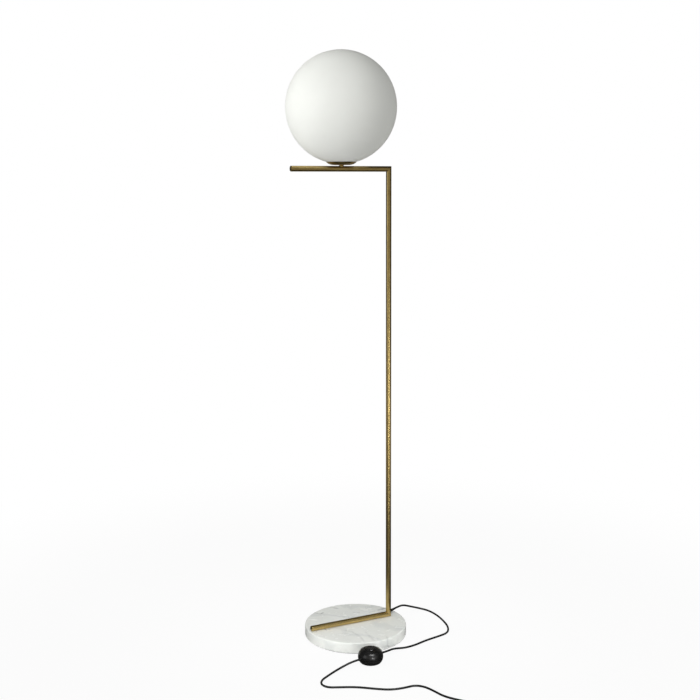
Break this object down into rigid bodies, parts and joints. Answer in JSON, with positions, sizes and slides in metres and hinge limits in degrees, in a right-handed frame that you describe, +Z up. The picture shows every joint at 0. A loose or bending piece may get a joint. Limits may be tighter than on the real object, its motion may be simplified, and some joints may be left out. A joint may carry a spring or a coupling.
{
  "type": "globe floor lamp",
  "caption": "Floor lamp: opal glass globe on a shallow brass dish, held by a slim angled brass tube frame on a round marble base, with a corded foot switch.",
  "frame": {"origin": "centre of the round base, on the floor", "axes": "+Z up along the pole, +X along both arms towards the pole, +Y completes the right-handed frame; the foot switch and plug lie towards -Y"},
  "size_m": [0.4218, 0.6285, 1.3669],
  "materials": {
    "marble": "polished white marble with thin dark veins and soft bevelled rims",
    "brass": "brushed antique brass, lacquered, satin",
    "opal_glass": "white opal glass, blown, satin outside",
    "bulb_glass": "frosted glass",
    "felt": "dense dark felt",
    "zinc_steel": "zinc plated steel",
    "turned_brass": "plain turned brass",
    "aluminium": "turned aluminium",
    "silicone": "translucent silicone",
    "holder_plastic": "black thermoset plastic",
    "porcelain": "glazed porcelain",
    "switch_plastic": "black gloss moulded plastic",
    "inner_plastic": "plain moulded plastic",
    "cord_rubber": "black extruded rubber sheath",
    "lead_insulation": "insulated flexible wire",
    "contact_brass": "stamped brass",
    "spring_steel": "spring steel wire"
  },
  "bodies": {
    "lamp": {"marble_base": "marble", "felt_pad": "felt", "base_bolts": "zinc_steel", "base_washers": "zinc_steel", "arm_plugs": "turned_brass", "upper_arm": "brass", "pole": "brass", "lower_arm": "brass", "upper_elbow_sleeve": "turned_brass", "lower_elbow_sleeve": "turned_brass", "upper_arm_cap": "brass", "lower_arm_cap": "brass", "stem": "brass", "stem_anchor": "turned_brass", "brass_dish": "brass", "threaded_cup": "aluminium", "holder_cap": "holder_plastic", "holder_skirt": "holder_plastic", "holder_core": "porcelain", "screw_shell": "contact_brass", "centre_contact": "contact_brass", "holder_terminals": "contact_brass", "stem_nut": "zinc_steel", "bulb_glass": "bulb_glass", "bulb_cap": "aluminium", "bulb_contact": "contact_brass", "inner_leads": "lead_insulation", "strain_relief": "cord_rubber", "cord_lamp_side": "cord_rubber", "cord_plug_side": "cord_rubber", "cord_coil": "cord_rubber", "cord_tie": "cord_rubber", "plug_relief": "cord_rubber", "plug_body": "switch_plastic", "plug_pins": "contact_brass", "switch_pad": "cord_rubber", "switch_base": "switch_plastic", "switch_cover": "switch_plastic", "switch_spring": "spring_steel", "switch_mechanism": "inner_plastic", "switch_contacts": "contact_brass", "switch_wires": "lead_insulation", "switch_screws": "zinc_steel", "switch_grips": "cord_rubber"},
    "neck_washer": {"neck_washer": "silicone"},
    "globe": {"glass_globe": "opal_glass", "globe_collar": "aluminium", "collar_bond": "silicone"},
    "switch_button": {"switch_button": "switch_plastic"}
  },
  "joints": [
    {"name": "globe_turn", "type": "hinge", "parent": "lamp", "child": "neck_washer", "pos_m": [-0.031, 0, 1.118], "axis": [0, 0, 1], "range_deg": [0, 540]},
    {"name": "globe_lift", "type": "slide", "parent": "neck_washer", "child": "globe", "axis": [0, 0, 1], "range_m": [0, 0.0046]},
    {"name": "switch_press", "type": "slide", "parent": "lamp", "child": "switch_button", "axis": [0, 0, -1], "range_m": [0, 0.003], "stiffness_N_per_m": 1200, "springref_m": -0.002, "deforming": ["switch_spring"]}
  ],
  "couplings": [
    {"joint": "globe_lift", "follows": "globe_turn", "m_per_rad": 0.00047746}
  ]
}
